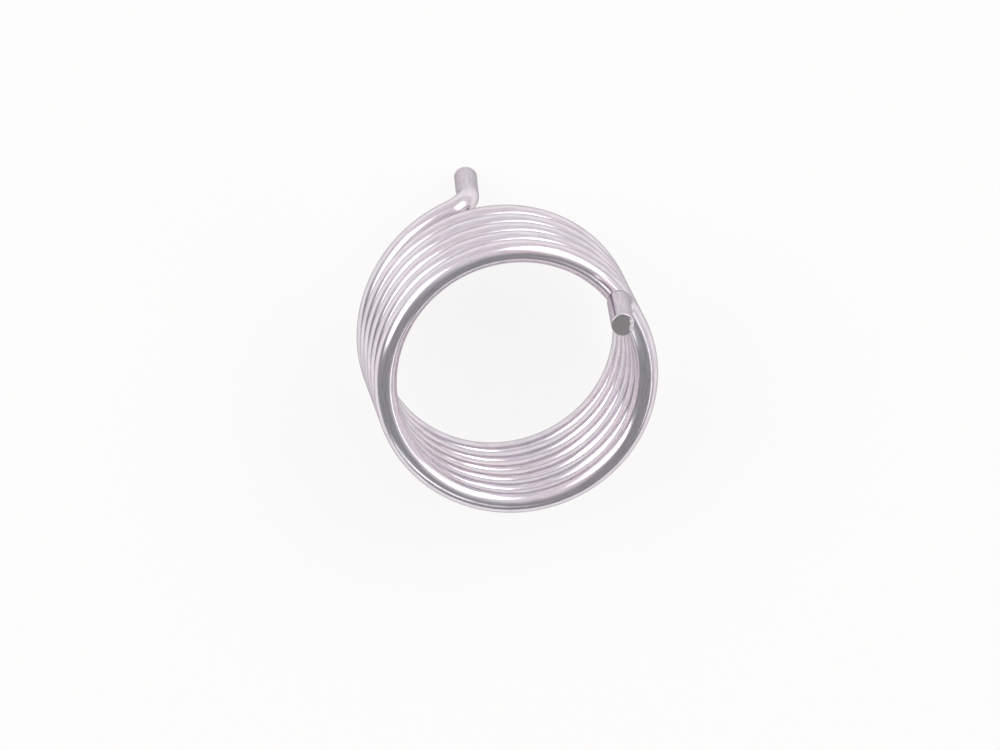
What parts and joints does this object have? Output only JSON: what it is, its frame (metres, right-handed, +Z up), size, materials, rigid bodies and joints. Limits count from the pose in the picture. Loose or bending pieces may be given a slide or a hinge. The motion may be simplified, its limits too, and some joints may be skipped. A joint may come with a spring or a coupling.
{
  "type": "torsion spring",
  "caption": "Helical torsion spring of round wire, right-hand wound, with a short axial leg at each end, that twists back when its legs are turned about the coil.",
  "frame": {"origin": "on the surface that the spring rests on, under the middle of its box", "axes": "+Z straight up with the spring at rest, standing on the tip of its rear leg and on the far side of the coil. The coil axis leans 16.5 degrees from +Z, mostly towards -Y, so the rear leg points down at +Y and the front leg points up at +X"},
  "size_m": [0.0256, 0.0296, 0.0241],
  "materials": {
    "plated_spring_wire": "bright zinc-plated drawn spring steel, smooth and glossy along the wire"
  },
  "bodies": {
    "root": {"spring_wire": "plated_spring_wire"}
  },
  "joints": []
}
